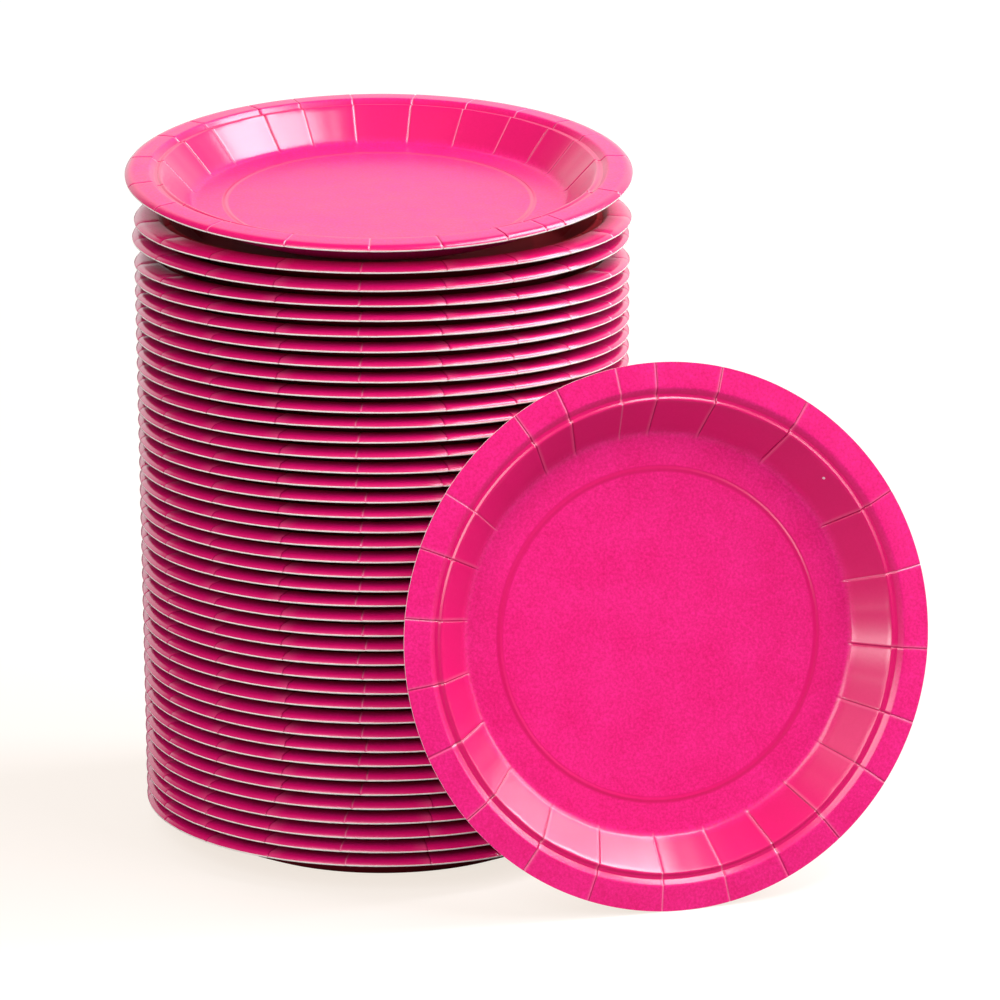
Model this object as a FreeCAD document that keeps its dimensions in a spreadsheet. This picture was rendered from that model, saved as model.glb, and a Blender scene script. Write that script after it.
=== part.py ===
import FreeCAD, Part
import math
import os
import Sketcher

# A stack of pressed paper plates with one plate leaning on its front right side.
# Millimetres, +Z up. The origin lies on the floor at the axis of the stack.
# The front of the stack faces -Y.

doc = FreeCAD.newDocument("PaperPlates")
sheet = doc.addObject("Spreadsheet::Sheet", "Sizes")
rows = {}


def size(alias, content):
    rowNumber = len(rows) + 1
    rows[alias] = rowNumber
    sheet.set("A%d" % rowNumber, alias)
    sheet.set("B%d" % rowNumber, str(content))
    sheet.setAlias("B%d" % rowNumber, alias)


def ref(alias):
    return "Sizes." + alias


# Plate sizes.
size("plateRadius", 89.0)
size("topRadius", 90.4)
size("leaningRadius", 95.25)
size("boardThick", 0.55)

# Section of the upper face. Radii are shares of the plate's radius, heights are for a plate
# of plateRadius, measured above the floor the plate stands on.
size("discShare", 0.600)
size("ringShare", 0.609)
size("flatShare", 0.618)
size("footShare", 0.740)
size("crestShare", 0.862)
size("ledgeShare", 0.8735)
size("stepShare", 0.8845)
size("bandShare", 0.905)
size("ringLift", 0.4)
size("crestHeight", 12.3)
size("ledgeHeight", 11.7)
size("stepHeight", 11.65)
size("bandHeight", 12.95)
size("edgeHeight", 12.6)

# Roundings of the upper face. The other corners of the section are crisp.
size("footRound", 4.0)
size("crestRound", 0.75)
size("bandRound", 1.5)

# Creases in the wall and rim, and the gathered folds behind them.
size("creaseDepth", 0.16)
size("creaseSpread", 0.34)
size("creaseRise", 0.3)
size("foldSpread", 1.6)
size("foldStart", 3.2)
size("foldEnd", 1.2)
size("foldRoot", 0.3)

# Pitch of the stack. The folds of a plate bear on the wall of the plate below it.
size("stackPitch", 5.25)
size("seatGap", 0.2)

stackTurns = [-24.0, -5.4, 13.6, 30.5, 46.7, 64.9, 83.1, 100.4, 118.8, 137.2]
stackTurns += [154.6, 172.9, 190.7, 208.3, 226.6, 244.5, 262.0, 280.6, 299.1, 317.6]
topTurns = [97.0, 110.6, 120.6, 141.2, 155.0, 172.3, 190.6, 208.9, 227.1, 247.4]
topTurns += [267.8, 285.2, 302.0, 312.7, 325.5, 342.1, 9.7, 26.9, 38.3, 54.5, 67.1, 81.4]
leaningTurns = [-24.3, -10.1, -1.7, 13.3, 32.8, 58.8, 75.2, 92.7, 108.1, 122.0, 137.4, 150.9]
leaningTurns += [165.2, 180.0, 196.4, 212.0, 228.0, 243.4, 258.2, 273.6, 288.9, 301.9, 324.7]

# Bearings are kept anticlockwise from +X as seen from above the plate's face.
for number, turn in enumerate(stackTurns):
    size("stackTurn%02d" % (number + 1), round((turn - 90.0) % 360.0, 2))
for number, turn in enumerate(topTurns):
    size("topTurn%02d" % (number + 1), turn)
for number, turn in enumerate(leaningTurns):
    size("leaningTurn%02d" % (number + 1), round((90.0 - turn) % 360.0, 2))

vertices = ["disc", "ring", "flat", "foot", "crest", "ledge", "step", "band"]
rounded = ["foot", "crest", "band"]
heights = {"crest": "crestHeight", "ledge": "ledgeHeight", "step": "stepHeight"}
heights["band"] = "bandHeight"


def sectionSizes(kind):
    # Named cells for the section of one kind of plate: corner points, slopes, and the two
    # ends of each rounding.
    radius = kind + "Radius" if kind != "plate" else "plateRadius"
    size(kind + "Grow", "=%s / plateRadius" % radius)
    size(kind + "StartR", "=0")
    size(kind + "StartZ", "=boardThick")
    for name in vertices:
        size(kind + name.capitalize() + "R", "=%sShare * %s" % (name, radius))
        if name == "ring":
            height = "boardThick + ringLift * %sGrow" % kind
        elif name in heights:
            height = "%s * %sGrow" % (heights[name], kind)
        else:
            height = "boardThick"
        size(kind + name.capitalize() + "Z", "=" + height)
    size(kind + "EdgeR", "=" + radius)
    size(kind + "EdgeZ", "=edgeHeight * %sGrow" % kind)
    order = ["Start"] + [name.capitalize() for name in vertices] + ["Edge"]
    for first, second in zip(order[:-1], order[1:]):
        rise = "%s%sZ - %s%sZ" % (kind, second, kind, first)
        run = "%s%sR - %s%sR" % (kind, second, kind, first)
        size(kind + second + "Slope", "=atan2(%s; %s) / 1deg" % (rise, run))
    for name, after in zip(order[1:-1], order[2:]):
        turn = "(%s%sSlope - %s%sSlope)" % (kind, after, kind, name)
        low = name.lower()
        if low not in rounded:
            size(kind + name + "Turn", "=%s / 2" % turn)
            size(kind + name + "Lean", "=(%s%sSlope + %s%sSlope) / 2" % (kind, after, kind, name))
            continue
        size(kind + name + "Reach", "=%sRound * tan(abs(%s) / 2 * 1deg)" % (low, turn))
        for tail, slope, sign in (("In", name, "-"), ("Out", after, "+")):
            angle = "%s%sSlope * 1deg" % (kind, slope)
            reach = "%s%sReach" % (kind, name)
            point = "%s%s" % (kind, name)
            size(point + tail + "R", "=%sR %s %s * cos(%s)" % (point, sign, reach, angle))
            size(point + tail + "Z", "=%sZ %s %s * sin(%s)" % (point, sign, reach, angle))


for kind in ("plate", "top", "leaning"):
    sectionSizes(kind)
size("foldThick", "=stackPitch * cos(plateCrestSlope * 1deg) - boardThick - seatGap")

# Places in the stack. Most plates lie level and are turned a little from one another.
levelCount = 39
turnSteps = [-4.2, -4.5, -3.7, -4.0, -2.9, -0.4, 0.3, -0.2, 0.5, 0.1, -0.5, 0.2, 0.6]
turnSteps += [0.0, -0.3, 0.4, -0.1, 0.3, -0.6, 0.1, 0.5, -0.2, 0.2, -0.4, 0.0, 0.6, -0.3]
turnSteps += [0.1, -0.1, 0.4, -0.5, 0.2, 0.0, 0.3, -0.2, 0.5, -0.4, 0.1, 0.3]
for number, turn in enumerate(turnSteps):
    size("levelTurn%02d" % (number + 1), turn)

# The two plates under the top one and the top plate are tipped forward, and each lies a
# little aside from the plate below it, so its folds bear on one side of that plate's wall.
size("looseTip", 2.7)
size("topTip", 9.3)
size("fortiethLift", 4.42)
size("fortiethAside", -0.4)
size("fortiethForward", 0.6)
size("fortyFirstLift", 5.31)
size("fortyFirstAside", 0.4)
size("fortyFirstForward", 0.7)
size("topLift", 16.22)
size("topAside", -0.9)
size("topForward", 2.5)

# The leaning plate: its foot point on the floor, its turn to the right and its lean back.
size("leaningFootX", 104.0)
size("leaningFootY", -104.5)
size("leaningTurn", 14.0)
size("leaningBack", 11.33)
size("leaningLowR", "=leaningRadius + boardThick * sin(leaningEdgeSlope * 1deg)")
size("leaningLowZ", "=leaningEdgeZ - boardThick * cos(leaningEdgeSlope * 1deg)")
across = "leaningLowR * sin(leaningBack * 1deg) + leaningLowZ * cos(leaningBack * 1deg)"
size("leaningInset", "=" + across)
size("leaningBaseX", "=leaningFootX - leaningInset * sin(leaningTurn * 1deg)")
size("leaningBaseY", "=leaningFootY + leaningInset * cos(leaningTurn * 1deg)")
upward = "leaningLowR * cos(leaningBack * 1deg) - leaningLowZ * sin(leaningBack * 1deg)"
size("leaningBaseZ", "=" + upward)
doc.recompute()


def value(alias):
    return float(sheet.get(alias))


def chain(kind, first):
    # The upper face from the corner named first to the edge. Each point holds its two cells,
    # the cell of the slope there and, where a rounding leads to it, that rounding and its side.
    order = ["Start"] + [name.capitalize() for name in vertices] + ["Edge"]
    points = []
    for name, after in zip(order, order[1:] + [None]):
        here = kind + name
        if order.index(name) < order.index(first):
            continue
        if name == "Start":
            points.append((here + "R", here + "Z", kind + after + "Slope", None))
        elif after is None:
            points.append((here + "R", here + "Z", here + "Slope", None))
        elif name.lower() not in rounded:
            points.append((here + "R", here + "Z", here + "Lean", here + "Turn"))
        else:
            if name != first:
                points.append((here + "InR", here + "InZ", here + "Slope", None))
            side = 1 if value(kind + after + "Slope") > value(here + "Slope") else -1
            rounding = (name.lower() + "Round", side) if name != first else None
            points.append((here + "OutR", here + "OutZ", kind + after + "Slope", rounding))
    return points


def offsetPoint(point, depth, sign):
    # A point of the upper face moved square to the face by the size named depth. At a crisp
    # corner it moves along the line that halves the corner.
    cellR, cellZ, slope, rounding = point
    formR, formZ = ref(cellR), ref(cellZ)
    numR, numZ = value(cellR), value(cellZ)
    crisp = rounding if isinstance(rounding, str) else None
    rounding = None if crisp else rounding
    if depth:
        angle = math.radians(value(slope))
        amount = sign * value(depth)
        reach = ref(depth)
        if crisp:
            amount /= math.cos(math.radians(value(crisp)))
            reach += " / cos(%s * 1deg)" % ref(crisp)
        shift = "%s * %s" % (reach, "%s(" + ref(slope) + " * 1deg)")
        formR += (" + " if sign > 0 else " - ") + shift % "sin"
        formZ += (" - " if sign > 0 else " + ") + shift % "cos"
        numR += amount * math.sin(angle)
        numZ -= amount * math.cos(angle)
    arc = None
    if rounding:
        cell, side = rounding
        formArc, numArc = ref(cell), value(cell)
        if depth:
            formArc += (" + " if side * sign > 0 else " - ") + ref(depth)
            numArc += side * sign * value(depth)
        arc = (formArc, numArc, side)
    return formR, formZ, numR, numZ, arc


def outlineSketch(label, corners):
    # A closed outline through the corners, in the plane of the axis. A corner's last entry
    # holds the arc that leads to it, as its radius and the side its centre lies on.
    sketch = doc.addObject("Sketcher::SketchObject", label)
    upright = FreeCAD.Rotation(FreeCAD.Vector(1, 0, 0), 90)
    sketch.Placement = FreeCAD.Placement(FreeCAD.Vector(0, 0, 0), upright)
    ends = []
    spots = [FreeCAD.Vector(corner[2], corner[3], 0) for corner in corners]
    for index, corner in enumerate(corners):
        start, finish = spots[index - 1], spots[index]
        if corner[4] is None:
            sketch.addGeometry(Part.LineSegment(start, finish), False)
            ends.append((1, 2))
            continue
        radius, side = corner[4][1], corner[4][2]
        chord = finish - start
        left = FreeCAD.Vector(-chord.y, chord.x, 0)
        left.normalize()
        drop = math.sqrt(max(radius ** 2 - (chord.Length / 2) ** 2, 0))
        centre = (start + finish) * 0.5 + left * (side * drop)
        circle = Part.Circle(centre, FreeCAD.Vector(0, 0, 1), radius)
        angles = [math.atan2(end.y - centre.y, end.x - centre.x) for end in (start, finish)]
        if side < 0:
            angles.reverse()
        sketch.addGeometry(Part.ArcOfCircle(circle, angles[0], angles[1]), False)
        ends.append((1, 2) if side > 0 else (2, 1))
    for index, corner in enumerate(corners):
        after = (index + 1) % len(corners)
        joint = Sketcher.Constraint("Coincident", index, ends[index][1], after, ends[after][0])
        sketch.addConstraint(joint)
        spot, end = spots[index], ends[index][1]
        if abs(spot.x) < 1e-9:
            sketch.addConstraint(Sketcher.Constraint("PointOnObject", index, end, -2))
        else:
            across = Sketcher.Constraint("DistanceX", -1, 1, index, end, spot.x)
            sketch.setExpression("Constraints[%d]" % sketch.addConstraint(across), corner[0])
        if abs(spot.y) < 1e-9:
            sketch.addConstraint(Sketcher.Constraint("PointOnObject", index, end, -1))
        else:
            upward = Sketcher.Constraint("DistanceY", -1, 1, index, end, spot.y)
            sketch.setExpression("Constraints[%d]" % sketch.addConstraint(upward), corner[1])
        if corner[4] is not None:
            bend = Sketcher.Constraint("Radius", index, corner[4][1])
            sketch.setExpression("Constraints[%d]" % sketch.addConstraint(bend), corner[4][0])
    return sketch


def bandSketch(label, points, upper, lower):
    # The strip between two faces that run along the upper face of the plate.
    above = [offsetPoint(point, *upper) for point in points]
    below = [offsetPoint(point, *lower) for point in points]
    corners = [above[0][:4] + (None,)] + above[1:]
    corners.append(below[-1][:4] + (None,))
    for index in range(len(below) - 1, 0, -1):
        arc = below[index][4]
        back = (arc[0], arc[1], -arc[2]) if arc else None
        corners.append(below[index - 1][:4] + (back,))
    return outlineSketch(label, corners)


def foldSketch(label, kind):
    # The gathered fold behind a crease: a strip along the outer side of the wall.
    slope = value(kind + "CrestSlope")
    sine, cosine = math.sin(math.radians(slope)), math.cos(math.radians(slope))
    formSine = "sin(%s * 1deg)" % ref(kind + "CrestSlope")
    formCosine = "cos(%s * 1deg)" % ref(kind + "CrestSlope")
    places = [("FootOut", "foldRoot", 1, False), ("CrestIn", "foldRoot", -1, False)]
    places += [("CrestIn", "foldEnd", -1, True), ("FootOut", "foldStart", 1, True)]
    corners = []
    for spot, along, sign, outer in places:
        depthForm = ref("boardThick") + (" + " + ref("foldThick") if outer else " * 0.5")
        depth = value("boardThick") + value("foldThick") if outer else value("boardThick") * 0.5
        step = sign * value(along)
        words = (ref(kind + spot), "+" if sign > 0 else "-", ref(along))
        formR = "%sR %s %s * " % words + formCosine + " + (%s) * " % depthForm + formSine
        formZ = "%sZ %s %s * " % words + formSine + " - (%s) * " % depthForm + formCosine
        numR = value(kind + spot + "R") + step * cosine + depth * sine
        numZ = value(kind + spot + "Z") + step * sine - depth * cosine
        corners.append((formR, formZ, numR, numZ, None))
    return outlineSketch(label, corners)


def sweep(label, sketch, spread, turn):
    wedge = doc.addObject("Part::Revolution", label)
    wedge.Source = sketch
    wedge.Axis = (0, 0, 1)
    wedge.Base = (0, 0, 0)
    wedge.Symmetric = True
    wedge.Solid = True
    wedge.setExpression("Angle", ref(spread))
    wedge.setExpression(".Placement.Rotation.Angle", ref(turn))
    return wedge


def plateForm(kind, turnName, count, creaseStart):
    # One pressed plate: the section turned about the axis, the folds added behind the wall
    # and the creases cut into the upper face from the corner named creaseStart to the edge.
    body = doc.addObject("PartDesign::Body", kind + "Blank")
    section = bandSketch(kind + "Section", chain(kind, "Start"), (None, 0), ("boardThick", 1))
    body.addObject(section)
    blank = body.newObject("PartDesign::Revolution", kind + "Turned")
    blank.Profile = section
    blank.ReferenceAxis = (section, ["V_Axis"])
    blank.Angle = 360.0
    creaseStrip = bandSketch(
        kind + "CreaseStrip", chain(kind, creaseStart), ("creaseRise", -1), ("creaseDepth", 1))
    foldStrip = foldSketch(kind + "FoldStrip", kind)
    creases, folds = [], []
    for number in range(1, count + 1):
        turn = "%s%02d" % (turnName, number)
        creases.append(sweep("%sCrease%02d" % (kind, number), creaseStrip, "creaseSpread", turn))
        folds.append(sweep("%sFold%02d" % (kind, number), foldStrip, "foldSpread", turn))
    gathered = doc.addObject("Part::MultiFuse", kind + "Gathered")
    gathered.Shapes = [body] + folds
    cutters = doc.addObject("Part::Compound", kind + "Creases")
    cutters.Links = creases
    form = doc.addObject("Part::Cut", kind + "Form")
    form.Base = gathered
    form.Tool = cutters
    return form


stackForm = plateForm("plate", "stackTurn", len(stackTurns), "Step")
topForm = plateForm("top", "topTurn", len(topTurns), "Foot")
leaningForm = plateForm("leaning", "leaningTurn", len(leaningTurns), "Foot")

nodes = []


def place(label, form):
    node = doc.addObject("Part::Compound", label)
    node.Label = label
    node.Links = [form]
    nodes.append(node)
    return node


for number in range(1, levelCount + 1):
    plate = place("plate_%02d" % number, stackForm)
    plate.setExpression(".Placement.Base.z", "%d * Sizes.stackPitch" % (number - 1))
    plate.setExpression(".Placement.Rotation.Angle", ref("levelTurn%02d" % number))

tipped = [("plate_40", stackForm, "looseTip", "fortieth")]
tipped.append(("plate_41", stackForm, "looseTip", "fortyFirst"))
tipped.append(("plate_42", topForm, "topTip", "top"))
for number, (label, form, tip, cell) in enumerate(tipped):
    plate = place(label, form)
    plate.Placement = FreeCAD.Placement(
        FreeCAD.Vector(0, 0, 0), FreeCAD.Rotation(FreeCAD.Vector(1, 0, 0), 1))
    plate.setExpression(".Placement.Rotation.Angle", ref(tip))
    rise = "%d * Sizes.stackPitch + " % (levelCount + number)
    plate.setExpression(".Placement.Base.z", rise + ref(cell + "Lift"))
    plate.setExpression(".Placement.Base.x", ref(cell + "Aside"))
    plate.setExpression(".Placement.Base.y", "-" + ref(cell + "Forward"))

plate = place("leaning_plate", leaningForm)
for axis in "xyz":
    plate.setExpression(".Placement.Base." + axis, ref("leaningBase" + axis.upper()))
plate.setExpression(".Placement.Rotation.Yaw", ref("leaningTurn"))
plate.setExpression(".Placement.Rotation.Roll", "90 - " + ref("leaningBack"))

doc.recompute()
for thing in doc.Objects:
    for state in thing.State:
        if state in ("Invalid", "Error"):
            raise RuntimeError("%s is %s" % (thing.Name, state))
for node in nodes:
    if node.Shape.isNull() or not node.Shape.isValid():
        raise RuntimeError("%s has no valid shape" % node.Label)
    if len(node.Shape.Solids) != 1:
        raise RuntimeError("%s has %d solids" % (node.Label, len(node.Shape.Solids)))
os.makedirs("parts", exist_ok=True)
for node in nodes:
    node.Shape.exportStep("parts/%s.step" % node.Label)
print("wrote %d plates" % len(nodes))
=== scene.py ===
import bpy
import math
import random
import numpy as np
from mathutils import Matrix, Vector


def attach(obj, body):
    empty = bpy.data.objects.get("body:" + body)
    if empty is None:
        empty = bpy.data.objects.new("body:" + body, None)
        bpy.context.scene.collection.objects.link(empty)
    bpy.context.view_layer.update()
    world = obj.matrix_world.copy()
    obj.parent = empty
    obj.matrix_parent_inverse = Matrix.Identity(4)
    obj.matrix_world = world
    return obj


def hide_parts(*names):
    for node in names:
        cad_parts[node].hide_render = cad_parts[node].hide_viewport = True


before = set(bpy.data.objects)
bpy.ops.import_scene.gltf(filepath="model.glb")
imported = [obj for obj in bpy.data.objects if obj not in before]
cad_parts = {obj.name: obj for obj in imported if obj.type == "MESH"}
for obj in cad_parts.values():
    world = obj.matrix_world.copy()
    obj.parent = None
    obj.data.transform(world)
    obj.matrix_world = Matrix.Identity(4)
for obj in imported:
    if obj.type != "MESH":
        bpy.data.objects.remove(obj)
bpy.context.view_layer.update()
print("frame loaded")

# Section of a pressed plate, as shares of its radius and heights in mm at a radius of 89 mm.
section = {
    "radius": 89.0,
    "board": 0.55,
    "corners": [(0.0, 0.55), (0.600, 0.55), (0.609, 0.76), (0.618, 0.55), (0.740, 0.55),
                (0.862, 12.3), (0.8735, 11.7), (0.8845, 11.65), (0.905, 12.95), (1.0, 12.6)],
    "rounds": {1: 0.9, 2: 0.9, 3: 0.9, 4: 4.0, 5: 0.75, 6: 0.35, 7: 0.45, 8: 1.5},
    "foot": 4,           # the corner at the foot of the wall gets more rings
    "footRings": 2,
    "growsAbove": 1.5,   # mm, corners above this height rise with the plate's radius
    "edgeBulge": 0.03,   # mm, how far the middle of the cut edge stands out
    "edgeRows": (0.08, 0.92),    # shares of the board's thickness
    "thickLean": -12.0,  # the cut edge stands about upright, in degrees
    "sharp": 38.0,       # faces that meet at more than this many degrees have a sharp edge
    "discTo": 0.71,      # this and the rest are shares of the radius
    "flatTo": 0.72,      # the creases start here
    "creasedFrom": 0.765,
    "wallTo": 0.86,
    "rimFrom": 0.90,
    "plainRimTo": 0.95,  # a rim without a lip keeps one finish from here on
}

bearingSteps = {
    "fine": [0.0, 0.08, 0.17, 0.3, 0.55, 1.1],    # degrees beside each crease
    "coarse": [0.0, 0.2, 0.5],
}

rimWaves = {
    "from": 0.87,
    "parts": [(2, 1.0, 0.6), (3, 1.7, 0.5)],      # waves round the rim, shift by seed, size
}

# The rolled lip of the plates in the stack, on top of that section.
rolledLip = {
    "lift": 0.5,         # mm, the rim inside the lip rides higher
    "start": 0.974,      # share of the radius
    "turn": 60.0,        # slope at the edge
    "steps": 3,
}

creaseLook = {
    "depth": 0.26,       # mm
    "width": 0.30,
    "ridge": 0.07,       # mm, on one side of the fold
    "ridgeWidth": 0.9,
    "strengths": (0.65, 1.2),    # the weakest and the strongest fold
    "backShare": 0.4,    # how much of the fold stands out on the back
    "flatten": 0.34,     # how far the wall between two creases runs straight
    "tilt": 0.16,
    "rimEase": 0.75,     # how much of the last two is gone on the rim
    "match": 1.5,        # degrees within which a pale bearing belongs to a crease
    "markWidth": 0.21,   # mm, the painted shade line in the fold, and the painted highlight line beside it
    "creaseHighlightAt": 0.52,
    "creaseHighlightWidth": 0.24,
    "creaseHighlight": 0.6,
}


def roundedSection(radius, ringCounts, lip):
    # The upper face as points (r, z) in mm, its slope there, and whether the lower face skips it.
    grow = radius / section["radius"]
    board = section["board"]
    corners = []
    for share, height in section["corners"]:
        if lip and share > section["rimFrom"]:
            height = height + lip["lift"]
        if height > section["growsAbove"]:
            height = board + (height - board) * grow
        corners.append(np.array((share * radius, height)))
    if lip:
        share = (lip["start"] * radius - corners[-2][0]) / (corners[-1][0] - corners[-2][0])
        corners[-1] = corners[-2] + (corners[-1] - corners[-2]) * share
    points = [(corners[0], 0.0, False)]
    for index in range(1, len(corners) - 1):
        corner = corners[index]
        before = corner - corners[index - 1]
        after = corners[index + 1] - corner
        before = before / np.linalg.norm(before)
        after = after / np.linalg.norm(after)
        turn = math.atan2(before[0] * after[1] - before[1] * after[0], float(before @ after))
        radiusHere = section["rounds"][index]
        if index in ringCounts["crisp"]:
            points.append((corner, math.atan2(*(before + after)[::-1]), False))
            continue
        reach = radiusHere * math.tan(abs(turn) / 2)
        start = corner - before * reach
        side = math.copysign(1.0, turn)
        centre = start + np.array([-before[1], before[0]]) * side * radiusHere
        count = ringCounts["arc"] + (section["footRings"] if index == section["foot"] else 0)
        slope = math.atan2(before[1], before[0])
        for step in range(count + 1):
            angle = turn * step / count
            arm = start - centre
            spot = centre + np.array([arm[0] * math.cos(angle) - arm[1] * math.sin(angle),
                                      arm[0] * math.sin(angle) + arm[1] * math.cos(angle)])
            points.append((spot, slope + angle, 0 < step < count))
    lastStep = corners[-1] - corners[-2]
    lastSlope = math.atan2(lastStep[1], lastStep[0])
    points.append((corners[-1], lastSlope, False))
    if lip:
        first, final = -lastSlope, math.radians(lip["turn"])
        bend = (radius - corners[-1][0]) / (math.sin(final) - math.sin(first))
        for step in range(1, lip["steps"] + 1):
            angle = first + (final - first) * step / lip["steps"]
            spot = corners[-1] + bend * np.array([math.sin(angle) - math.sin(first),
                                                  math.cos(angle) - math.cos(first)])
            points.append((spot, -angle, step < lip["steps"]))
    # Long straight runs get rings between.
    full = [points[0]]
    for (first, slopeOne, _), (second, slopeTwo, skipped) in zip(points[:-1], points[1:]):
        length = np.linalg.norm(second - first)
        limit = ringCounts["disc"] if second[0] < section["discTo"] * radius else ringCounts["long"]
        count = max(1, int(math.ceil(length / limit)))
        for step in range(1, count + 1):
            mix = step / count
            full.append((first + (second - first) * mix, slopeOne + (slopeTwo - slopeOne) * mix,
                         skipped and step == count))
    spots = np.array([spot for spot, slope, skipped in full])
    slopes = np.array([slope for spot, slope, skipped in full])
    return spots, slopes, [skipped for spot, slope, skipped in full]


def bearings(creases, spacing, fine):
    # Angles in degrees, close together at each crease.
    near = bearingSteps["fine" if fine else "coarse"]
    angles = set()
    ordered = sorted(crease % 360.0 for crease in creases)
    for index, crease in enumerate(ordered):
        following = ordered[(index + 1) % len(ordered)]
        gap = (following - crease) % 360.0
        for offset in near:
            angles.add(round((crease + offset) % 360.0, 4))
            angles.add(round((crease - offset) % 360.0, 4))
        inner = gap - 2 * near[-1]
        count = max(1, int(math.ceil(inner / spacing)))
        for step in range(1, count):
            angles.add(round((crease + near[-1] + inner * step / count) % 360.0, 4))
    return np.array(sorted(angles))


def smoothStep(value, low, high):
    share = np.clip((value - low) / (high - low), 0.0, 1.0)
    return share * share * (3 - 2 * share)


def plateFaces(columns, rowCount, edgeRows):
    # Faces over the rows of points, closed by the first and the last point, and their kinds.
    faces = [(0, 1 + column, 1 + (column + 1) % columns) for column in range(columns)]
    kinds = [0] * columns
    for row in range(rowCount - 1):
        base = 1 + row * columns
        for column in range(columns):
            following = (column + 1) % columns
            faces.append((base + column, base + columns + column,
                          base + columns + following, base + following))
        kinds += [1 if edgeRows[0] <= row <= edgeRows[1] else 0] * columns
    base = 1 + (rowCount - 1) * columns
    last = base + columns
    faces += [(last, base + (column + 1) % columns, base + column) for column in range(columns)]
    kinds += [0] * columns
    return faces, kinds


def pressedPlate(radius, creases, pale, seed, rings, spacing, fine, rimWave=0.0, lip=None,
                 nestShadeReach=None):
    # The whole plate as one closed mesh in its own place, in mm. A face of kind 0 is coated
    # board, and one of kind 1 is the cut edge.
    rng = random.Random(seed)
    board = section["board"]
    spots, slopes, skips = roundedSection(radius, rings, lip)
    angles = bearings(creases, spacing, fine)
    ordered = np.array(sorted(crease % 360.0 for crease in creases))
    panels = len(ordered)
    tilts = np.array([rng.uniform(-1, 1) for panel in range(panels)]) * creaseLook["tilt"]
    strengths = np.array([rng.uniform(*creaseLook["strengths"]) for panel in range(panels)])
    sides = np.array([rng.choice([-1, 1]) for panel in range(panels)])
    paleOnes = np.array([any(abs((crease - one + 180.0) % 360.0 - 180.0) < creaseLook["match"]
                             for one in pale) for crease in ordered])
    panelOf = (np.searchsorted(ordered, angles, side="right") - 1) % panels
    start = ordered[panelOf]
    span = (ordered[(panelOf + 1) % panels] - start) % 360.0
    along = ((angles - start) % 360.0) / span
    nearest = np.where(along > 0.5, (panelOf + 1) % panels, panelOf)
    away = (angles - ordered[nearest] + 180.0) % 360.0 - 180.0

    def ring(spot, slope, sink):
        # sink is the depth under the upper face; the upper face itself has 0.
        r, z = spot
        arc = np.radians(away) * r
        share = r / radius
        creased = smoothStep(share, section["flatTo"], section["creasedFrom"])
        ease = creaseLook["rimEase"] * smoothStep(share, section["wallTo"], section["rimFrom"])
        wall = creased * (1 - ease)
        groove = creaseLook["depth"] * np.exp(-(arc / creaseLook["width"]) ** 2)
        ridge = creaseLook["ridge"] * np.exp(-np.abs(arc) / creaseLook["ridgeWidth"])
        ridge = ridge * (np.sign(arc) == sides[nearest]) * creased
        groove = groove * strengths[nearest] * creased
        if sink > board / 2:
            groove = -groove * creaseLook["backShare"]
        chord = r * (1 - np.cos(np.radians(span) * np.minimum(along, 1 - along)))
        flat = -creaseLook["flatten"] * chord * wall
        tilt = tilts[panelOf] * (along - 0.5) * wall
        lift = -groove + ridge + tilt
        turned = np.radians(angles)
        if rimWave:
            wave = sum(size * np.sin(folds * turned + shift * seed)
                       for folds, shift, size in rimWaves["parts"])
            lift = lift + rimWave * wave * smoothStep(share, rimWaves["from"], 1.0)
        level = sink - lift
        slope = max(slope, math.radians(section["thickLean"]))
        rr = r + level * math.sin(slope) + flat * math.sin(max(slope, 0.0))
        zz = z - level * math.cos(slope)
        return np.stack([rr * np.cos(turned), rr * np.sin(turned), zz * np.ones_like(rr)], 1)

    def marks(share):
        # The crease mark is above 0 where shade is painted into a crease, and below 0 where a pale
        # highlight is painted in or beside it.
        arc = np.radians(away) * share * radius
        groove = np.exp(-(arc / creaseLook["markWidth"]) ** 2)
        creaseHighlight = np.exp(-((np.abs(arc) - creaseLook["creaseHighlightAt"]) / creaseLook["creaseHighlightWidth"]) ** 2)
        creaseHighlight = creaseHighlight * (np.sign(arc) == sides[nearest])
        mark = np.where(paleOnes[nearest], -groove, groove - creaseLook["creaseHighlight"] * creaseHighlight)
        return mark * smoothStep(share, section["flatTo"], section["creasedFrom"])

    topRings = [ring(spot, slope, 0.0) for spot, slope in zip(spots[1:], slopes[1:])]
    lowRings = [ring(spot, slope, board)
                for spot, slope, skipped in zip(spots[1:], slopes[1:], skips[1:]) if not skipped]
    edge = spots[-1] + np.array([section["edgeBulge"], 0.0])
    middle = [ring(edge, slopes[-1], board * share) for share in section["edgeRows"]]
    columns = len(angles)
    rows = topRings + middle + lowRings[::-1]
    # The share of the radius stays below 0 on the cut edge and on the back.
    count = 2 + len(rows) * columns
    shares, creased = np.full(count, -1.0), np.zeros(count)
    # Painted shade: on a plate inside the stack, the back and the inner part of the upper face are
    # darkened, fading out towards the rim.
    nestShade = np.full(count, 1.0 if nestShadeReach else 0.0)
    shares[0] = 0.0
    for row, spot in enumerate(spots[1:]):
        share = spot[0] / radius
        here = slice(1 + row * columns, 1 + (row + 1) * columns)
        shares[here] = share if lip else min(share, section["plainRimTo"])
        creased[here] = marks(share)
        if nestShadeReach:
            nestShade[here] = 1 - smoothStep(share, *nestShadeReach)
    if nestShadeReach:
        cut = 1 + len(topRings) * columns
        nestShade[cut:cut + len(middle) * columns] = 0.0
    coords = np.concatenate([np.array([[0, 0, spots[0][1]]])] + rows
                            + [np.array([[0, 0, spots[0][1] - board]])])
    edgeRow = len(topRings) - 1
    faces, kinds = plateFaces(columns, len(rows), (edgeRow, edgeRow + len(middle)))
    return coords, faces, kinds, {"share": shares, "creased": creased, "nestShade": nestShade}


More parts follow.
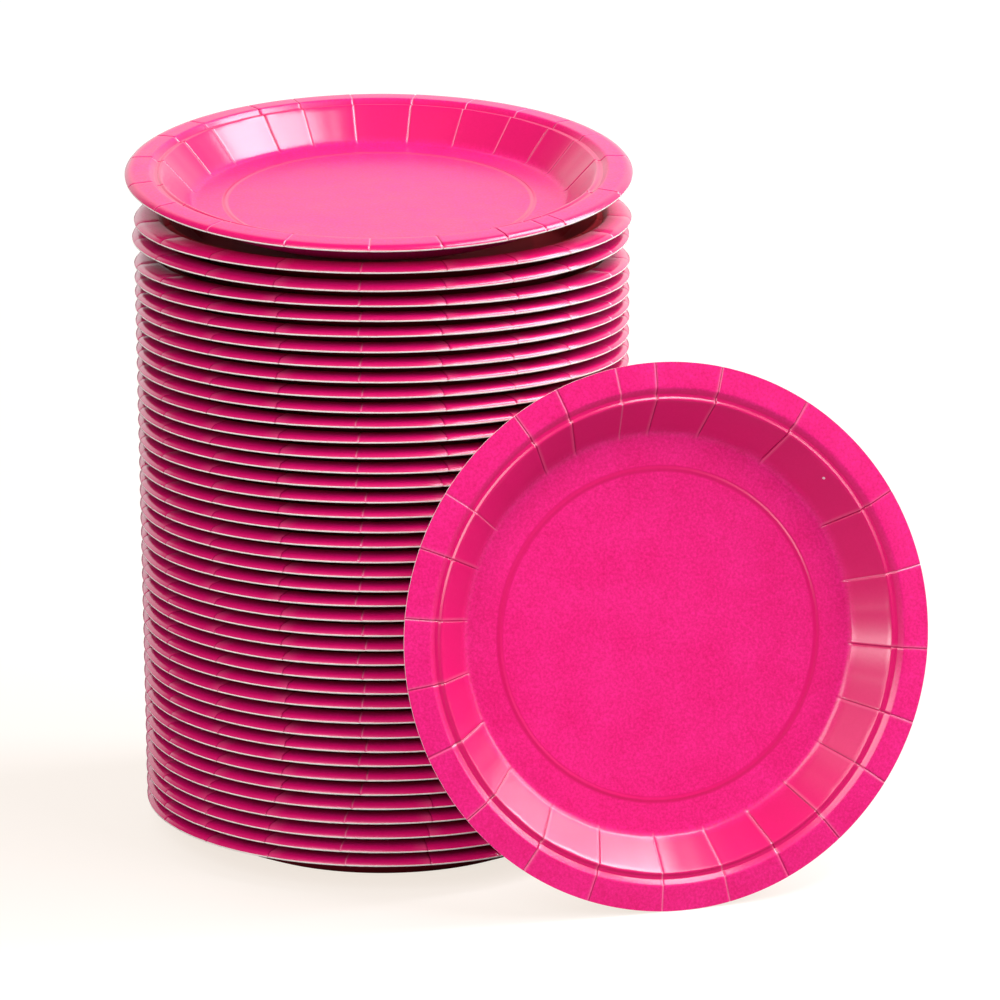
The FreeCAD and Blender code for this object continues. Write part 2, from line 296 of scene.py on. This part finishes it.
def plateObject(name, shape, matrix, materials):
    coords, faces, kinds, values = shape
    coords = coords @ matrix[:3, :3].T + matrix[:3, 3]
    mesh = bpy.data.meshes.new(name)
    mesh.from_pydata((coords / 1000.0).tolist(), [], faces)
    for material in materials:
        mesh.materials.append(material)
    mesh.polygons.foreach_set("material_index", kinds)
    mesh.polygons.foreach_set("use_smooth", [True] * len(faces))
    for label, numbers in values.items():
        mesh.attributes.new(label, "FLOAT", "POINT").data.foreach_set("value", numbers)
    axis = mesh.attributes.new("axis", "FLOAT_VECTOR", "POINT")
    axis.data.foreach_set("vector", np.tile(matrix[:3, 2], len(coords)))
    mesh.update()
    mesh.set_sharp_from_angle(angle=math.radians(section["sharp"]))
    thing = bpy.data.objects.new(name, mesh)
    bpy.context.collection.objects.link(thing)
    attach(thing, "root")
    return thing


def turnMatrix(axis, degrees):
    angle = math.radians(degrees)
    c, s = math.cos(angle), math.sin(angle)
    matrix = np.eye(4)
    first, second = {"x": (1, 2), "z": (0, 1)}[axis]
    matrix[first, first] = c
    matrix[second, second] = c
    matrix[first, second] = -s
    matrix[second, first] = s
    return matrix


def moveMatrix(x, y, z):
    matrix = np.eye(4)
    matrix[:3, 3] = (x, y, z)
    return matrix


def nodeGroup(name, inputs, outputs):
    group = bpy.data.node_groups.new(name, "ShaderNodeTree")
    for label, kind, default in inputs:
        socket = group.interface.new_socket(label, in_out="INPUT", socket_type=kind)
        if default is not None:
            socket.default_value = default
    for label, kind in outputs:
        group.interface.new_socket(label, in_out="OUTPUT", socket_type=kind)
    return group, group.nodes.new("NodeGroupInput"), group.nodes.new("NodeGroupOutput")


def noiseTexture(nodes, links, coords, look):
    noise = nodes.new("ShaderNodeTexNoise")
    noise.inputs["Detail"].default_value = look["detail"]
    noise.inputs["Roughness"].default_value = look["roughness"]
    links.new(coords, noise.inputs["Vector"])
    return noise


def scaled(nodes, links, value, factor):
    part = nodes.new("ShaderNodeMath")
    part.operation = "MULTIPLY"
    links.new(value, part.inputs[0])
    if isinstance(factor, bpy.types.NodeSocket):
        links.new(factor, part.inputs[1])
    else:
        part.inputs[1].default_value = factor
    return part.outputs["Value"]


def mapped(nodes, links, value, reach, result=(0.0, 1.0), kind="LINEAR"):
    # Takes the reach of a value to the two values of the result.
    node = nodes.new("ShaderNodeMapRange")
    node.interpolation_type = kind
    for label, number in zip(("From Min", "From Max", "To Min", "To Max"), reach + result):
        node.inputs[label].default_value = number
    links.new(value, node.inputs["Value"])
    return node.outputs["Result"]


def blend(nodes, links, kind, factor, first, second):
    # Mixes first into second by factor; each is a socket or a plain value.
    mix = nodes.new("ShaderNodeMix")
    mix.data_type = kind
    places = {"FLOAT": (2, 3, 0), "RGBA": (6, 7, 2)}[kind]
    for place, given in ((0, factor), (places[0], first), (places[1], second)):
        if isinstance(given, bpy.types.NodeSocket):
            links.new(given, mix.inputs[place])
        else:
            mix.inputs[place].default_value = given
    return mix.outputs[places[2]]


def attributeOf(nodes, name, output="Fac"):
    node = nodes.new("ShaderNodeAttribute")
    node.attribute_name = name
    return node.outputs[output]


def steppedRamp(nodes, links, value, steps):
    # A grey ramp through the steps, each a place and its height.
    ramp = nodes.new("ShaderNodeValToRGB")
    elements = ramp.color_ramp.elements
    elements.remove(elements[1])
    for index, (place, height) in enumerate(steps):
        element = elements[0] if index == 0 else elements.new(place)
        element.color = (height, height, height, 1.0)
    links.new(value, ramp.inputs["Fac"])
    return ramp.outputs["Color"]


def toneRamp(nodes, links, value, reach, colours):
    ramp = nodes.new("ShaderNodeValToRGB")
    for element, place, colour in zip(ramp.color_ramp.elements, reach, colours):
        element.position = place
        element.color = colour
    links.new(value, ramp.inputs["Fac"])
    return ramp.outputs["Color"]


grainLook = {
    "fine": {"detail": 3.0, "roughness": 0.62, "share": 0.75},
    "cloud": {"detail": 4.0, "roughness": 0.55, "share": 0.25},
}


def boardGrainGroup():
    # Fibre grain of the board under its coating: colour mottle, gloss variation and height.
    group, given, result = nodeGroup(
        "boardGrain",
        [("Grain Size", "NodeSocketFloat", 1100.0), ("Cloud Size", "NodeSocketFloat", 60.0)],
        [("Mottle", "NodeSocketFloat"), ("Gloss", "NodeSocketFloat"), ("Height", "NodeSocketFloat")])
    nodes, links = group.nodes, group.links
    coords = nodes.new("ShaderNodeTexCoord").outputs["Object"]
    fine = noiseTexture(nodes, links, coords, grainLook["fine"])
    cloud = noiseTexture(nodes, links, coords, grainLook["cloud"])
    links.new(given.outputs["Grain Size"], fine.inputs["Scale"])
    links.new(given.outputs["Cloud Size"], cloud.inputs["Scale"])
    mottle = nodes.new("ShaderNodeMath")
    mottle.operation = "MULTIPLY_ADD"
    mottle.inputs[1].default_value = grainLook["fine"]["share"]
    links.new(fine.outputs["Fac"], mottle.inputs[0])
    clouded = scaled(nodes, links, cloud.outputs["Fac"], grainLook["cloud"]["share"])
    links.new(clouded, mottle.inputs[2])
    links.new(mottle.outputs["Value"], result.inputs["Mottle"])
    links.new(cloud.outputs["Fac"], result.inputs["Gloss"])
    links.new(fine.outputs["Fac"], result.inputs["Height"])
    return group


def grainOf(nodes, grain, look):
    node = nodes.new("ShaderNodeGroup")
    node.node_tree = grain
    node.inputs["Grain Size"].default_value = look["grainSize"]
    node.inputs["Cloud Size"].default_value = look["cloudSize"]
    return node


# Steps along the radius: where the die has pressed the board smooth, and where its wall is.
pressLook = {
    "pressed": [(0.0, 0.0), (0.594, 0.0), (0.599, 1.0), (0.620, 1.0), (0.625, 0.0), (0.735, 0.0),
                (0.765, 1.0), (0.885, 1.0), (0.905, 0.15), (0.960, 0.0), (0.985, 0.9)],
    "wall": [(0.0, 0.0), (0.745, 0.0), (0.770, 1.0), (0.845, 1.0), (0.860, 0.0)],
    "wallSheen": 0.19,   # how far the wall's normal leans to the plate's axis
}


def pressMarksAndPaintedLightGroup():
    # Where the die has pressed the board smooth and where it is folded, with painted shade in the
    # folds and inside the nest, and painted highlights beside the folds.
    group, given, result = nodeGroup(
        "pressMarksAndPaintedLight", [("Wall Sheen", "NodeSocketFloat", pressLook["wallSheen"])],
        [("Pressed", "NodeSocketFloat"), ("Painted Fold Shade", "NodeSocketFloat"), ("Crease Highlight", "NodeSocketFloat"),
         ("Nest Shade", "NodeSocketFloat"), ("Normal", "NodeSocketVector")])
    nodes, links = group.nodes, group.links
    share = attributeOf(nodes, "share")
    links.new(steppedRamp(nodes, links, share, pressLook["pressed"]), result.inputs["Pressed"])
    creased = attributeOf(nodes, "creased")
    for label, reach in (("Painted Fold Shade", (0.0, 1.0)), ("Crease Highlight", (0.0, -1.0))):
        links.new(mapped(nodes, links, creased, reach), result.inputs[label])
    links.new(attributeOf(nodes, "nestShade"), result.inputs["Nest Shade"])
    # The wall's coating has slumped in the press, so it shines as a slightly shallower wall.
    wall = steppedRamp(nodes, links, share, pressLook["wall"])
    lean = nodes.new("ShaderNodeVectorMath")
    lean.operation = "SCALE"
    links.new(attributeOf(nodes, "axis", "Vector"), lean.inputs[0])
    links.new(scaled(nodes, links, wall, given.outputs["Wall Sheen"]), lean.inputs["Scale"])
    total = nodes.new("ShaderNodeVectorMath")
    total.operation = "ADD"
    links.new(nodes.new("ShaderNodeNewGeometry").outputs["Normal"], total.inputs[0])
    links.new(lean.outputs["Vector"], total.inputs[1])
    unit = nodes.new("ShaderNodeVectorMath")
    unit.operation = "NORMALIZE"
    links.new(total.outputs["Vector"], unit.inputs[0])
    links.new(unit.outputs["Vector"], result.inputs["Normal"])
    return group


def newMaterial(name):
    material = bpy.data.materials.new(name)
    material.use_nodes = True
    return material, material.node_tree.nodes, material.node_tree.links


def bumpOf(nodes, links, height, look):
    bump = nodes.new("ShaderNodeBump")
    bump.inputs["Strength"].default_value = look["bump"]
    bump.inputs["Distance"].default_value = look["bumpDistance"]
    links.new(height, bump.inputs["Height"])
    return bump


def fleckMask(nodes, links):
    # 1 inside the small round fleck, and 0 elsewhere.
    away = nodes.new("ShaderNodeVectorMath")
    away.operation = "DISTANCE"
    away.inputs[1].default_value = leaningPlate["fleck"]
    links.new(nodes.new("ShaderNodeTexCoord").outputs["Object"], away.inputs[0])
    near = nodes.new("ShaderNodeMath")
    near.operation = "LESS_THAN"
    near.inputs[1].default_value = leaningPlate["fleckSize"]
    links.new(away.outputs["Value"], near.inputs[0])
    return near.outputs["Value"]


def coatedBoard(grain, marks):
    look = {
        "grainSize": 1100.0,
        "cloudSize": 60.0,
        "toneReach": (0.30, 0.70),
        "tones": [(0.74, 0.0025, 0.125, 1.0), (1.0, 0.014, 0.275, 1.0)],
        # Painted shade for the line in each fold, and a painted highlight for the pale line beside
        # it:
        "fold": (0.30, 0.001, 0.05, 1.0),
        "creaseHighlight": (1.0, 0.30, 0.48, 1.0),
        "fleck": (1.0, 0.62, 0.72, 1.0),
        "nestShade": (0.28, 0.001, 0.012, 1.0),    # painted shade inside the nest, where little light gets
        "pressedTone": 0.32,
        "pressedShare": 0.85,    # how fully pressed board, painted fold shade and painted crease highlights take their tones
        "foldShare": 0.8,
        "creaseHighlightShare": 0.6,
        "glossReach": (0.3, 0.7),
        "roughness": (0.42, 0.54),
        "pressedRoughness": 0.30,
        "nestShadeRoughness": 0.85,
        "specular": 0.25,
        "bump": 0.10,
        "bumpDistance": 0.0004,
        "smoothShare": 0.8,      # how far the die has pressed the grain down to an even height
        "smoothHeight": 0.5,
        "coat": 0.7,
        "pressedCoat": 1.0,
        "coatRoughness": 0.22,
        "coatIor": 1.6,
    }
    material, nodes, links = newMaterial("coatedBoard")
    shader = nodes["Principled BSDF"]
    grainNode = grainOf(nodes, grain, look)
    marksNode = nodes.new("ShaderNodeGroup")
    marksNode.node_tree = marks
    pressed, nestShade = marksNode.outputs["Pressed"], marksNode.outputs["Nest Shade"]

    tone = blend(nodes, links, "FLOAT", scaled(nodes, links, pressed, look["pressedShare"]),
                 grainNode.outputs["Mottle"], look["pressedTone"])
    colour = toneRamp(nodes, links, tone, look["toneReach"], look["tones"])
    # Painted shade in each fold, and a painted highlight beside it or in a pale crease.
    fold = scaled(nodes, links, marksNode.outputs["Painted Fold Shade"], look["foldShare"])
    colour = blend(nodes, links, "RGBA", fold, colour, look["fold"])
    creaseHighlight = scaled(nodes, links, marksNode.outputs["Crease Highlight"], look["creaseHighlightShare"])
    colour = blend(nodes, links, "RGBA", creaseHighlight, colour, look["creaseHighlight"])
    fleck = scaled(nodes, links, fleckMask(nodes, links), pressed)
    colour = blend(nodes, links, "RGBA", fleck, colour, look["fleck"])
    # Painted shade inside the nest of the stack.
    colour = blend(nodes, links, "RGBA", nestShade, colour, look["nestShade"])
    links.new(colour, shader.inputs["Base Color"])

    roughness = mapped(nodes, links, grainNode.outputs["Gloss"], look["glossReach"],
                       look["roughness"])
    roughness = blend(nodes, links, "FLOAT", pressed, roughness, look["pressedRoughness"])
    roughness = blend(nodes, links, "FLOAT", nestShade, roughness, look["nestShadeRoughness"])
    links.new(roughness, shader.inputs["Roughness"])
    shader.inputs["Specular IOR Level"].default_value = look["specular"]

    height = blend(nodes, links, "FLOAT", scaled(nodes, links, pressed, look["smoothShare"]),
                   grainNode.outputs["Height"], look["smoothHeight"])
    bump = bumpOf(nodes, links, height, look)
    links.new(marksNode.outputs["Normal"], bump.inputs["Normal"])
    links.new(bump.outputs["Normal"], shader.inputs["Normal"])
    coat = blend(nodes, links, "FLOAT", pressed, look["coat"], look["pressedCoat"])
    # Where shade is painted inside the nest, the board is also dull and has no coat.
    links.new(blend(nodes, links, "FLOAT", nestShade, coat, 0.0), shader.inputs["Coat Weight"])
    shader.inputs["Coat Roughness"].default_value = look["coatRoughness"]
    shader.inputs["Coat IOR"].default_value = look["coatIor"]
    return material


def cutBoard(grain):
    look = {
        "grainSize": 1800.0,
        "cloudSize": 140.0,
        "toneReach": (0.34, 0.52),
        "tones": [(0.95, 0.62, 0.60, 1.0), (1.0, 0.90, 0.85, 1.0)],    # stained, and clean
        "roughness": 0.85,
        "bump": 0.35,
        "bumpDistance": 0.0003,
    }
    material, nodes, links = newMaterial("cutBoard")
    shader = nodes["Principled BSDF"]
    grainNode = grainOf(nodes, grain, look)
    colour = toneRamp(nodes, links, grainNode.outputs["Mottle"], look["toneReach"], look["tones"])
    links.new(colour, shader.inputs["Base Color"])
    bump = bumpOf(nodes, links, grainNode.outputs["Height"], look)
    links.new(bump.outputs["Normal"], shader.inputs["Normal"])
    shader.inputs["Roughness"].default_value = look["roughness"]
    return material


stackPlates = {
    "count": 39,
    "pitch": 5.25,
    "front": -90.0,
    # Bearings of the creases, from the front towards the right.
    "creases": [-24.0, -5.4, 13.6, 30.5, 46.7, 64.9, 83.1, 100.4, 118.8, 137.2, 154.6, 172.9,
                190.7, 208.3, 226.6, 244.5, 262.0, 280.6, 299.1, 317.6],
    "turns": [-4.2, -4.5, -3.7, -4.0, -2.9, -0.4, 0.3, -0.2, 0.5, 0.1, -0.5, 0.2, 0.6, 0.0,
              -0.3, 0.4, -0.1, 0.3, -0.6, 0.1, 0.5, -0.2, 0.2, -0.4, 0.0, 0.6, -0.3, 0.1,
              -0.1, 0.4, -0.5, 0.2, 0.0, 0.3, -0.2, 0.5, -0.4, 0.1, 0.3],
    "creaseJitter": 0.7,
    "rimWave": 0.16,     # mm
    "nestShadeReach": (0.875, 0.955),    # shares of the radius between which the painted shade inside the nest ends
    "spacing": 3.6,      # degrees
    "rings": {"disc": 30.0, "arc": 2, "long": 7.0, "crisp": (1, 2, 3, 6, 7)},
    "pale": [-5.4, 64.9],
    "seed": 11,
    "firstPlateSeed": 100,
}

# The lift is how far a tipped plate stands above its place in an even stack, in mm.
tippedPlates = [
    {"tip": 2.7, "aside": -0.4, "forward": 0.6, "lift": 4.42},
    {"tip": 2.7, "aside": 0.4, "forward": 0.7, "lift": 5.31},
]


def tippedMatrix(plate, height):
    # Tipped to the front, and lifted off its place in an even stack.
    matrix = moveMatrix(plate["aside"], -plate["forward"], height + plate["lift"])
    return matrix @ turnMatrix("x", plate["tip"])


def buildStack():
    rng = random.Random(stackPlates["seed"])
    jitter = stackPlates["creaseJitter"]
    front = stackPlates["front"]
    pale = [crease + front for crease in stackPlates["pale"]]
    for number in range(stackPlates["count"] + len(tippedPlates)):
        creases = [crease + front + rng.uniform(-jitter, jitter)
                   for crease in stackPlates["creases"]]
        name = "plate_%02d" % (number + 1)
        shape = pressedPlate(section["radius"], creases, pale, stackPlates["firstPlateSeed"] + number,
                             stackPlates["rings"], stackPlates["spacing"], False,
                             stackPlates["rimWave"], rolledLip, stackPlates["nestShadeReach"])
        height = number * stackPlates["pitch"]
        if number < stackPlates["count"]:
            matrix = moveMatrix(0, 0, height) @ turnMatrix("z", stackPlates["turns"][number])
        else:
            matrix = tippedMatrix(tippedPlates[number - stackPlates["count"]], height)
        plate = plateObject("rim_%02d" % (number + 1), shape, matrix, finishes)
        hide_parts(name)


topPlate = {
    "radius": 90.4,
    "tip": 8.6,
    "aside": -0.9,
    "forward": 2.5,
    "lift": 17.3,
    # Bearings of the creases, from the right towards the back.
    "creases": [97.0, 111.4, 123.3, 142.1, 155.5, 173.3, 193.4, 211.0, 229.6, 249.2, 267.8,
                283.6, 298.7, 309.0, 314.6, 338.8, 5.8, 23.9, 36.9, 51.0, 66.1, 81.0],
    "pale": [51.0, 66.1, 81.0, 97.0, 142.1, 229.6, 249.2, 267.8],
    "spacing": 1.1,
    "rings": {"disc": 6.0, "arc": 4, "long": 1.8, "crisp": ()},
    "seed": 5,
}


def buildTop():
    shape = pressedPlate(topPlate["radius"], topPlate["creases"], topPlate["pale"],
                         topPlate["seed"], topPlate["rings"], topPlate["spacing"], True,
                         lip=rolledLip)
    below = stackPlates["count"] + len(tippedPlates)
    matrix = tippedMatrix(topPlate, below * stackPlates["pitch"])
    plate = plateObject("topPlate", shape, matrix, finishes)
    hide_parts("plate_42")


leaningPlate = {
    "radius": 95.25,
    "foot": (103.2, -104.5),
    "turn": 14.0,
    "back": 11.33,
    "top": 90.0,
    # Bearings of the creases, clockwise from the top.
    "creases": [-33.0, -22.5, -9.1, -0.3, 14.5, 34.6, 61.6, 78.7, 96.9, 112.8, 126.9, 142.4,
                156.0, 170.0, 185.1, 201.4, 217.1, 233.3, 248.9, 263.4, 278.2, 293.0, 305.4],
    "pale": [-9.1, 78.7, 170.0, 185.1, 305.4],
    "fleck": (0.1541, -0.0588, 0.1432),    # m, and so is its size
    "fleckSize": 0.00085,
    "spacing": 1.0,
    "rings": {"disc": 6.0, "arc": 4, "long": 1.8, "crisp": ()},
    "seed": 23,
}


def buildLeaning():
    radius, board = leaningPlate["radius"], section["board"]
    grow = radius / section["radius"]
    (stepShare, stepHeight), (rimShare, rimHeight) = section["corners"][-2:]
    drop = math.atan2(rimHeight - stepHeight, section["radius"] * (rimShare - stepShare))
    # The lower corner of the rim, which stands on the floor.
    lowRadius = radius + board * math.sin(drop)
    lowHeight = rimHeight * grow - board * math.cos(drop)
    back, turn = math.radians(leaningPlate["back"]), math.radians(leaningPlate["turn"])
    inset = lowRadius * math.sin(back) + lowHeight * math.cos(back)
    footX, footY = leaningPlate["foot"]
    matrix = moveMatrix(footX - inset * math.sin(turn), footY + inset * math.cos(turn),
                        lowRadius * math.cos(back) - lowHeight * math.sin(back))
    matrix = matrix @ turnMatrix("z", leaningPlate["turn"])
    matrix = matrix @ turnMatrix("x", 90 - leaningPlate["back"])
    creases = [leaningPlate["top"] - crease for crease in leaningPlate["creases"]]
    pale = [leaningPlate["top"] - crease for crease in leaningPlate["pale"]]
    shape = pressedPlate(radius, creases, pale, leaningPlate["seed"],
                         leaningPlate["rings"], leaningPlate["spacing"], True)
    plate = plateObject("leaningPlate", shape, matrix, finishes)
    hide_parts("leaning_plate")


grain = boardGrainGroup()
finishes = [coatedBoard(grain, pressMarksAndPaintedLightGroup()), cutBoard(grain)]
print("finishes made")

buildStack()
print("stack built")
buildTop()
buildLeaning()
print("top and leaning plates built")

studio = {
    "floorSize": 30.0,
    "floorClouds": 3.0,
    "floorReach": (0.0, 1.0),
    "floorTones": [(0.22, 0.225, 0.25, 1.0), (0.25, 0.255, 0.28, 1.0)],
    "floorRoughness": 0.9,
    "floorGloss": (0.05, 0.05, 0.05, 1.0),   # the floor as gloss picks it up
    "floorGlow": (0.82, 0.97),     # what the camera alone sees added to the floor, near and far
    "glowReach": (0.4, 1.8),       # m from the middle, where near ends and far starts
    "glowTints": [(1.0, 0.915, 0.83, 1.0), (1.0, 0.98, 0.945, 1.0)],
    "skyReach": (0.0, 0.9),        # soft light from the sides, and from above
    "skyStrength": (0.05, 0.37),
    "backReach": (0.42, 0.85),     # the bright backdrop that gloss picks up behind the object
    "backStrength": (0.03, 0.95),
    "lamps": [
        {"name": "rightBox", "at": (1.13, 0.18, 1.14), "size": (0.52, 1.4), "power": 24.0},
        {"name": "leftBox", "at": (-1.08, -1.02, 0.28), "size": (0.36, 0.26), "power": 3.4},
        {"name": "frontFill", "at": (-0.50, -1.22, 1.00), "size": (1.0, 1.0), "power": 13.0},
        {"name": "lipStrip", "at": (0.82, -0.50, 1.60), "size": (0.8, 0.36), "power": 9.5},
        {"name": "sideFill", "at": (1.26, -0.48, 0.66), "size": (0.6, 0.6), "power": 5.5},
    ],
    "aim": (0.05, 0.0, 0.12),
}


def buildFloor():
    bpy.ops.mesh.primitive_plane_add(size=studio["floorSize"], location=(0, 0, 0))
    floor = bpy.context.object
    floor.name = "floor"
    material, nodes, links = newMaterial("paleFloor")
    shader = nodes["Principled BSDF"]
    noise = nodes.new("ShaderNodeTexNoise")
    noise.inputs["Scale"].default_value = studio["floorClouds"]
    colour = toneRamp(nodes, links, noise.outputs["Fac"], studio["floorReach"],
                      studio["floorTones"])
    path = nodes.new("ShaderNodeLightPath")
    colour = blend(nodes, links, "RGBA", path.outputs["Is Glossy Ray"], colour,
                   studio["floorGloss"])
    links.new(colour, shader.inputs["Base Color"])
    shader.inputs["Roughness"].default_value = studio["floorRoughness"]
    away = nodes.new("ShaderNodeVectorMath")
    away.operation = "LENGTH"
    links.new(nodes.new("ShaderNodeTexCoord").outputs["Object"], away.inputs[0])
    spread = mapped(nodes, links, away.outputs["Value"], studio["glowReach"])
    tint = blend(nodes, links, "RGBA", spread, *studio["glowTints"])
    links.new(tint, shader.inputs["Emission Color"])
    glow = blend(nodes, links, "FLOAT", spread, *studio["floorGlow"])
    seen = scaled(nodes, links, path.outputs["Is Camera Ray"], glow)
    links.new(seen, shader.inputs["Emission Strength"])
    floor.data.materials.append(material)


def buildWorld():
    # Diffuse light falls mostly from above, gloss sees a bright backdrop, the camera sees white.
    world = bpy.data.worlds.new("studio")
    bpy.context.scene.world = world
    world.use_nodes = True
    nodes, links = world.node_tree.nodes, world.node_tree.links
    background = nodes["Background"]
    background.inputs["Color"].default_value = (1.0, 1.0, 1.0, 1.0)
    parts = nodes.new("ShaderNodeSeparateXYZ")
    links.new(nodes.new("ShaderNodeTexCoord").outputs["Generated"], parts.inputs["Vector"])
    sky = mapped(nodes, links, parts.outputs["Z"], studio["skyReach"], studio["skyStrength"],
                 "SMOOTHSTEP")
    gloss = mapped(nodes, links, parts.outputs["Y"], studio["backReach"],
                   studio["backStrength"], "SMOOTHSTEP")
    path = nodes.new("ShaderNodeLightPath")
    strength = blend(nodes, links, "FLOAT", path.outputs["Is Glossy Ray"], sky, gloss)
    strength = blend(nodes, links, "FLOAT", path.outputs["Is Camera Ray"], strength, 1.0)
    links.new(strength, background.inputs["Strength"])


def buildLamps():
    aim = Vector(studio["aim"])
    for lamp in studio["lamps"]:
        data = bpy.data.lights.new(lamp["name"], "AREA")
        data.shape = "RECTANGLE"
        data.size, data.size_y = lamp["size"]
        data.energy = lamp["power"]
        thing = bpy.data.objects.new(lamp["name"], data)
        bpy.context.collection.objects.link(thing)
        thing.location = lamp["at"]
        thing.rotation_euler = (aim - Vector(lamp["at"])).to_track_quat("-Z", "Y").to_euler()


camera = {
    "at": (0.0, -1.300, 0.451),
    "down": 14.24,
    "aside": 1.866,
    "lens": 131.83,
    "sensor": 36.0,
}


def buildCamera():
    data = bpy.data.cameras.new("camera")
    data.lens = camera["lens"]
    data.sensor_width = camera["sensor"]
    thing = bpy.data.objects.new("camera", data)
    bpy.context.collection.objects.link(thing)
    thing.location = camera["at"]
    thing.rotation_euler = (math.radians(90 - camera["down"]), 0, math.radians(-camera["aside"]))
    bpy.context.scene.camera = thing


buildFloor()
buildWorld()
buildLamps()
buildCamera()
bpy.context.scene.view_settings.view_transform = "Standard"
print("studio set")
